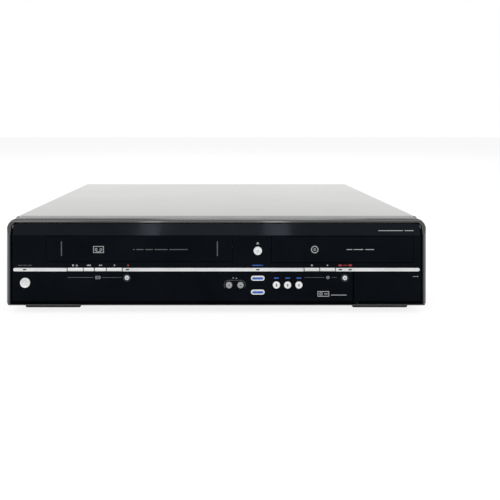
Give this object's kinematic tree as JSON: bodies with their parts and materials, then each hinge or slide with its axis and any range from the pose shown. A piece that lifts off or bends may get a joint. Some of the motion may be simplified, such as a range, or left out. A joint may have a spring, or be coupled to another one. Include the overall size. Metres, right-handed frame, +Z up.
{
  "type": "dvd vcr combo player",
  "caption": "Home video recorder with a front-loading cassette deck, a disc tray and a hard disk in one low wide black case with feet.",
  "frame": {"origin": "on the surface the feet stand on, under the middle of the case", "axes": "+X along the front to the right as seen from in front, +Y from the front to the rear, +Z up"},
  "size_m": [0.435, 0.35, 0.0975],
  "materials": {
    "painted_steel": "satin black paint",
    "black_plastic": "fine moulded texture",
    "gloss_black": "piano gloss",
    "silver_plastic": "silver lacquer",
    "white_plastic": "gloss",
    "grey_plastic": "silver-grey lacquer",
    "smoke_window": "smoked clear",
    "plated_steel": "zinc plated",
    "black_rubber": "moulded",
    "circuit_board": "solder resist",
    "paper_board": "phenolic board",
    "contact_gold": "plated",
    "machined_alloy": "machined",
    "ivory_plastic": "moulded",
    "cast_alloy": "cast"
  },
  "bodies": {
    "casing": {"top_cover": "painted_steel", "bezel_frame": "black_plastic", "front_panel": "gloss_black", "accent_strip": "silver_plastic", "indicator_lenses": "smoke_window", "door_spring": "plated_steel", "base_chassis": "plated_steel", "rear_panel": "plated_steel", "feet": "black_rubber", "cover_screws": "painted_steel", "key_board": "circuit_board", "jack_housing": "black_plastic", "front_jacks": "contact_gold", "mains_inlet": "black_plastic", "aerial_sockets": "plated_steel", "scart_sockets": "black_plastic", "phono_sockets": "contact_gold", "video_sockets": "black_plastic", "fan_frame": "black_plastic", "deck_frame": "plated_steel", "drum_base": "cast_alloy", "drive_chassis": "black_plastic", "hard_disk": "cast_alloy", "main_board": "circuit_board", "power_board": "paper_board", "power_parts": "black_plastic"},
    "cassette_door": {"cassette_door": "gloss_black"},
    "jack_flap": {"jack_flap": "gloss_black"},
    "standby_button": {"standby_button": "white_plastic"},
    "open_close_button": {"open_close_button": "white_plastic"},
    "deck_record_button": {"deck_record_button": "white_plastic"},
    "disc_record_button": {"disc_record_button": "white_plastic"},
    "channel_down_button": {"channel_down_button": "grey_plastic"},
    "channel_up_button": {"channel_up_button": "grey_plastic"},
    "dubbing_button_upper": {"dubbing_button_upper": "white_plastic"},
    "dubbing_button_lower": {"dubbing_button_lower": "white_plastic"},
    "selector_button_left": {"selector_button_left": "white_plastic"},
    "selector_button_middle": {"selector_button_middle": "white_plastic"},
    "selector_button_right": {"selector_button_right": "white_plastic"},
    "deck_stop_key": {"deck_stop_key": "silver_plastic"},
    "deck_rewind_key": {"deck_rewind_key": "silver_plastic"},
    "deck_forward_key": {"deck_forward_key": "silver_plastic"},
    "deck_play_key": {"deck_play_key": "silver_plastic"},
    "disc_stop_key": {"disc_stop_key": "silver_plastic"},
    "disc_play_key": {"disc_play_key": "silver_plastic"},
    "fan_rotor": {"fan_rotor": "black_plastic"},
    "holder_slider": {"holder_slider": "plated_steel"},
    "cassette_holder": {"cassette_holder": "plated_steel"},
    "head_drum": {"head_drum": "machined_alloy"},
    "capstan": {"capstan": "plated_steel"},
    "pinch_arm": {"pinch_arm": "plated_steel"},
    "supply_reel": {"supply_reel": "ivory_plastic"},
    "take_up_reel": {"take_up_reel": "ivory_plastic"},
    "tray": {"disc_tray": "black_plastic", "tray_front": "gloss_black"},
    "tray_pinion": {"tray_pinion": "ivory_plastic"},
    "traverse": {"traverse": "plated_steel"},
    "turntable": {"turntable": "black_plastic"},
    "pickup_sled": {"pickup_sled": "cast_alloy"},
    "disc_clamp": {"disc_clamp": "black_plastic"}
  },
  "joints": [
    {"name": "cassette_door_swing", "type": "hinge", "parent": "casing", "child": "cassette_door", "pos_m": [-0.07984, -0.1662, 0.0883], "axis": [1, 0, 0], "range_deg": [0, 88], "stiffness_Nm_per_rad": 0.02, "springref_deg": -28.65},
    {"name": "jack_flap_swing", "type": "hinge", "parent": "casing", "child": "jack_flap", "pos_m": [0.1445, -0.1712, 0.02665], "axis": [0, 0, 1], "range_deg": [-90, 0]},
    {"name": "standby_button_press", "type": "slide", "parent": "casing", "child": "standby_button", "axis": [0, 1, 0], "range_m": [0, 0.0012], "stiffness_N_per_m": 400, "springref_m": -0.0005},
    {"name": "open_close_button_press", "type": "slide", "parent": "casing", "child": "open_close_button", "axis": [0, 1, 0], "range_m": [0, 0.0012], "stiffness_N_per_m": 400, "springref_m": -0.0005},
    {"name": "deck_record_button_press", "type": "slide", "parent": "casing", "child": "deck_record_button", "axis": [0, 1, 0], "range_m": [0, 0.0012], "stiffness_N_per_m": 400, "springref_m": -0.0005},
    {"name": "disc_record_button_press", "type": "slide", "parent": "casing", "child": "disc_record_button", "axis": [0, 1, 0], "range_m": [0, 0.0012], "stiffness_N_per_m": 400, "springref_m": -0.0005},
    {"name": "channel_down_button_press", "type": "slide", "parent": "casing", "child": "channel_down_button", "axis": [0, 1, 0], "range_m": [0, 0.0012], "stiffness_N_per_m": 400, "springref_m": -0.0005},
    {"name": "channel_up_button_press", "type": "slide", "parent": "casing", "child": "channel_up_button", "axis": [0, 1, 0], "range_m": [0, 0.0012], "stiffness_N_per_m": 400, "springref_m": -0.0005},
    {"name": "dubbing_button_upper_press", "type": "slide", "parent": "casing", "child": "dubbing_button_upper", "axis": [0, 1, 0], "range_m": [0, 0.0012], "stiffness_N_per_m": 400, "springref_m": -0.0005},
    {"name": "dubbing_button_lower_press", "type": "slide", "parent": "casing", "child": "dubbing_button_lower", "axis": [0, 1, 0], "range_m": [0, 0.0012], "stiffness_N_per_m": 400, "springref_m": -0.0005},
    {"name": "selector_button_left_press", "type": "slide", "parent": "casing", "child": "selector_button_left", "axis": [0, 1, 0], "range_m": [0, 0.0012], "stiffness_N_per_m": 400, "springref_m": -0.0005},
    {"name": "selector_button_middle_press", "type": "slide", "parent": "casing", "child": "selector_button_middle", "axis": [0, 1, 0], "range_m": [0, 0.0012], "stiffness_N_per_m": 400, "springref_m": -0.0005},
    {"name": "selector_button_right_press", "type": "slide", "parent": "casing", "child": "selector_button_right", "axis": [0, 1, 0], "range_m": [0, 0.0012], "stiffness_N_per_m": 400, "springref_m": -0.0005},
    {"name": "deck_stop_key_press", "type": "slide", "parent": "casing", "child": "deck_stop_key", "axis": [0, 1, 0], "range_m": [0, 0.0012], "stiffness_N_per_m": 400, "springref_m": -0.0005},
    {"name": "deck_rewind_key_press", "type": "slide", "parent": "casing", "child": "deck_rewind_key", "axis": [0, 1, 0], "range_m": [0, 0.0012], "stiffness_N_per_m": 400, "springref_m": -0.0005},
    {"name": "deck_forward_key_press", "type": "slide", "parent": "casing", "child": "deck_forward_key", "axis": [0, 1, 0], "range_m": [0, 0.0012], "stiffness_N_per_m": 400, "springref_m": -0.0005},
    {"name": "deck_play_key_press", "type": "slide", "parent": "casing", "child": "deck_play_key", "axis": [0, 1, 0], "range_m": [0, 0.0012], "stiffness_N_per_m": 400, "springref_m": -0.0005},
    {"name": "disc_stop_key_press", "type": "slide", "parent": "casing", "child": "disc_stop_key", "axis": [0, 1, 0], "range_m": [0, 0.0012], "stiffness_N_per_m": 400, "springref_m": -0.0005},
    {"name": "disc_play_key_press", "type": "slide", "parent": "casing", "child": "disc_play_key", "axis": [0, 1, 0], "range_m": [0, 0.0012], "stiffness_N_per_m": 400, "springref_m": -0.0005},
    {"name": "fan_spin", "type": "hinge", "parent": "casing", "child": "fan_rotor", "pos_m": [0.1655, 0.1555, 0.0645], "axis": [0, 1, 0], "continuous": true},
    {"name": "holder_travel", "type": "slide", "parent": "casing", "child": "holder_slider", "axis": [0, 1, 0], "range_m": [0, 0.04]},
    {"name": "holder_drop", "type": "slide", "parent": "holder_slider", "child": "cassette_holder", "axis": [0, 0, 1], "range_m": [-0.021, 0]},
    {"name": "head_drum_spin", "type": "hinge", "parent": "casing", "child": "head_drum", "pos_m": [-0.08384, 0.01683, 0.0511], "axis": [0.0872, 0, 0.9962], "continuous": true},
    {"name": "capstan_spin", "type": "hinge", "parent": "casing", "child": "capstan", "pos_m": [-0.02784, -0.02217, 0.0185], "axis": [0, 0, 1], "continuous": true},
    {"name": "pinch_arm_swing", "type": "hinge", "parent": "casing", "child": "pinch_arm", "pos_m": [-0.00584, -0.00917, 0.0291], "axis": [0, 0, 1], "range_deg": [0, 12]},
    {"name": "supply_reel_spin", "type": "hinge", "parent": "casing", "child": "supply_reel", "pos_m": [-0.12584, -0.08017, 0.0251], "axis": [0, 0, 1], "continuous": true},
    {"name": "take_up_reel_spin", "type": "hinge", "parent": "casing", "child": "take_up_reel", "pos_m": [-0.03384, -0.08017, 0.0251], "axis": [0, 0, 1], "continuous": true},
    {"name": "tray_travel", "type": "slide", "parent": "casing", "child": "tray", "axis": [0, -1, 0], "range_m": [0, 0.138]},
    {"name": "tray_pinion_spin", "type": "hinge", "parent": "casing", "child": "tray_pinion", "pos_m": [0.08565, -0.1436, 0.055], "axis": [0, 0, 1], "range_deg": [0, 880]},
    {"name": "traverse_lift", "type": "slide", "parent": "casing", "child": "traverse", "axis": [0, 0, 1], "range_m": [0, 0.006]},
    {"name": "turntable_spin", "type": "hinge", "parent": "traverse", "child": "turntable", "pos_m": [0.13065, -0.1027, 0.0585], "axis": [0, 0, 1], "continuous": true},
    {"name": "pickup_travel", "type": "slide", "parent": "traverse", "child": "pickup_sled", "axis": [0, 1, 0], "range_m": [0, 0.036]},
    {"name": "disc_clamp_spin", "type": "hinge", "parent": "casing", "child": "disc_clamp", "pos_m": [0.13065, -0.1027, 0.0818], "axis": [0, 0, 1], "continuous": true}
  ],
  "couplings": [
    {"joint": "tray_pinion_spin", "follows": "tray_travel", "rad_per_m": 111.11}
  ]
}
